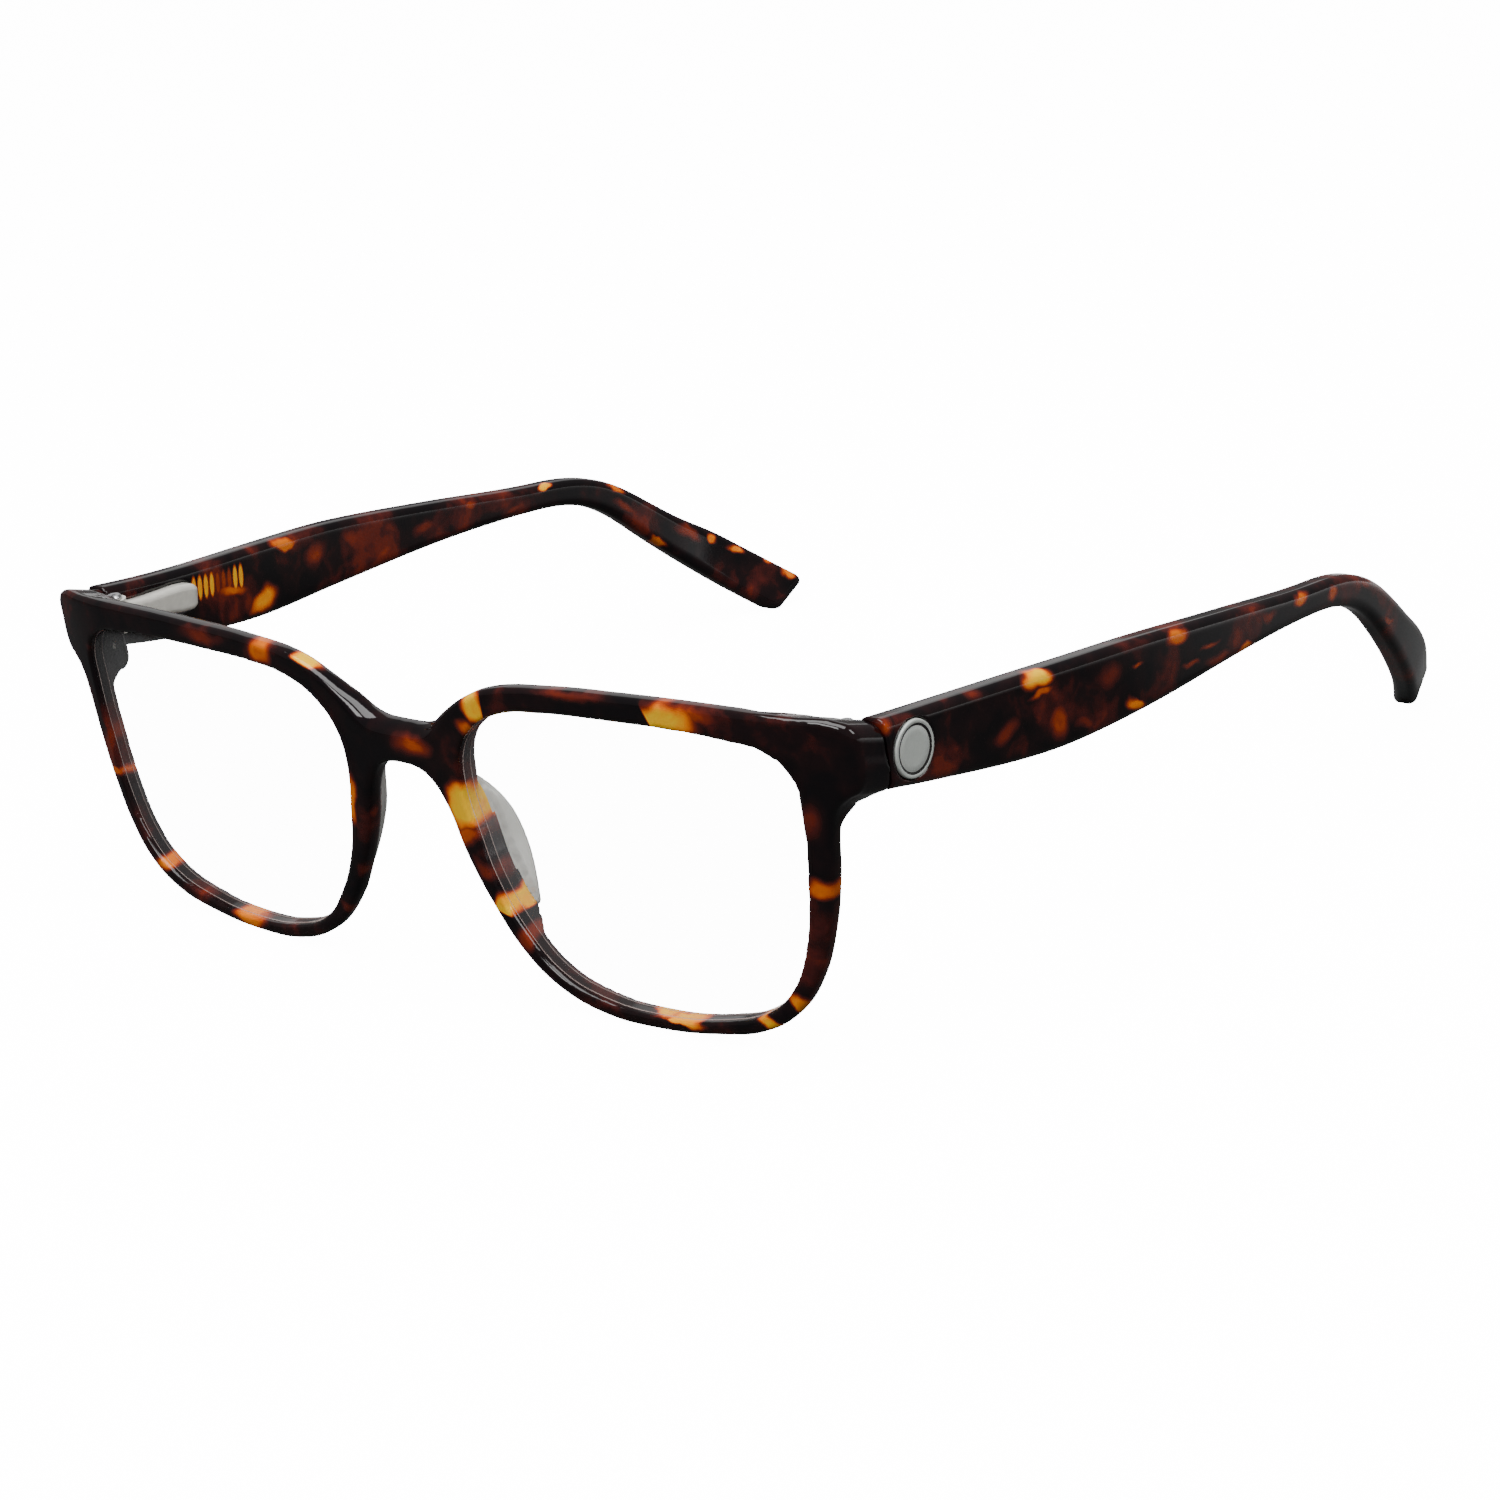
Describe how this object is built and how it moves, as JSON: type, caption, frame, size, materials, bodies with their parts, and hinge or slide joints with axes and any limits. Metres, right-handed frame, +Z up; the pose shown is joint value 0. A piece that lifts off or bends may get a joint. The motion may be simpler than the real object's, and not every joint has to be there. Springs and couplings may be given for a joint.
{
  "type": "eyeglasses frame",
  "caption": "Full-rim tortoiseshell acetate eyeglasses frame with soft square rims, saddle bridge, clear demo lenses and spring-hinged temples that fold inward.",
  "frame": {"origin": "centre of the bounding box in plan, at table height, with the open pair standing on its rims and temple tips", "axes": "+Y from the front back towards the temple tips, +X to the wearer's left, +Z up"},
  "size_m": [0.144, 0.1452, 0.0439],
  "materials": {
    "acetate": "polished tortoiseshell acetate, near black brown with amber and red patches",
    "demo_lens": "clear, polished",
    "hinge_nickel": "polished nickel plate",
    "steel": "bright steel",
    "nylon": "natural nylon",
    "nickel_silver": "drawn nickel silver wire",
    "silver_disc": "plain satin"
  },
  "bodies": {
    "frame": {"front_frame": "acetate", "lens_left": "demo_lens", "lens_right": "demo_lens", "nose_pad_left": "acetate", "nose_pad_right": "acetate", "front_hinge_left": "hinge_nickel", "front_hinge_right": "hinge_nickel", "hinge_screw_left": "steel", "hinge_screw_right": "steel"},
    "sleeve_left": {"hinge_bushing_left": "nylon"},
    "slider_left": {"slider_eye_left": "hinge_nickel", "slider_stop_left": "steel"},
    "temple_left": {"temple_left": "acetate", "core_wire_left": "nickel_silver", "spring_case_left": "hinge_nickel", "temple_disc_left": "silver_disc", "hinge_spring_left": "steel"},
    "sleeve_right": {"hinge_bushing_right": "nylon"},
    "slider_right": {"slider_eye_right": "hinge_nickel", "slider_stop_right": "steel"},
    "temple_right": {"temple_right": "acetate", "core_wire_right": "nickel_silver", "spring_case_right": "hinge_nickel", "temple_disc_right": "silver_disc", "hinge_spring_right": "steel"}
  },
  "joints": [
    {"name": "fold_left", "type": "hinge", "parent": "frame", "child": "sleeve_left", "pos_m": [0.063, -0.06136, 0.0382], "axis": [0, -0.0668, 0.9978], "range_deg": [0, 90]},
    {"name": "flex_left", "type": "hinge", "parent": "sleeve_left", "child": "slider_left", "pos_m": [0.063, -0.06136, 0.0382], "axis": [0, -0.0668, 0.9978], "range_deg": [-6, 0], "stiffness_Nm_per_rad": 0.27, "springref_deg": 4.01},
    {"name": "rod_slide_left", "type": "slide", "parent": "slider_left", "child": "temple_left", "axis": [0, 0.9917, -0.1283], "range_m": [0, 0.0006], "deforming": ["hinge_spring_left"]},
    {"name": "fold_right", "type": "hinge", "parent": "frame", "child": "sleeve_right", "pos_m": [-0.063, -0.06136, 0.0382], "axis": [0, 0.0668, -0.9978], "range_deg": [0, 73]},
    {"name": "flex_right", "type": "hinge", "parent": "sleeve_right", "child": "slider_right", "pos_m": [-0.063, -0.06136, 0.0382], "axis": [0, 0.0668, -0.9978], "range_deg": [-6, 0], "stiffness_Nm_per_rad": 0.27, "springref_deg": 4.01},
    {"name": "rod_slide_right", "type": "slide", "parent": "slider_right", "child": "temple_right", "axis": [0, 0.9917, -0.1283], "range_m": [0, 0.0006], "deforming": ["hinge_spring_right"]}
  ],
  "couplings": [
    {"joint": "rod_slide_left", "follows": "flex_left", "m_per_rad": -0.0055},
    {"joint": "rod_slide_right", "follows": "flex_right", "m_per_rad": -0.0055}
  ]
}
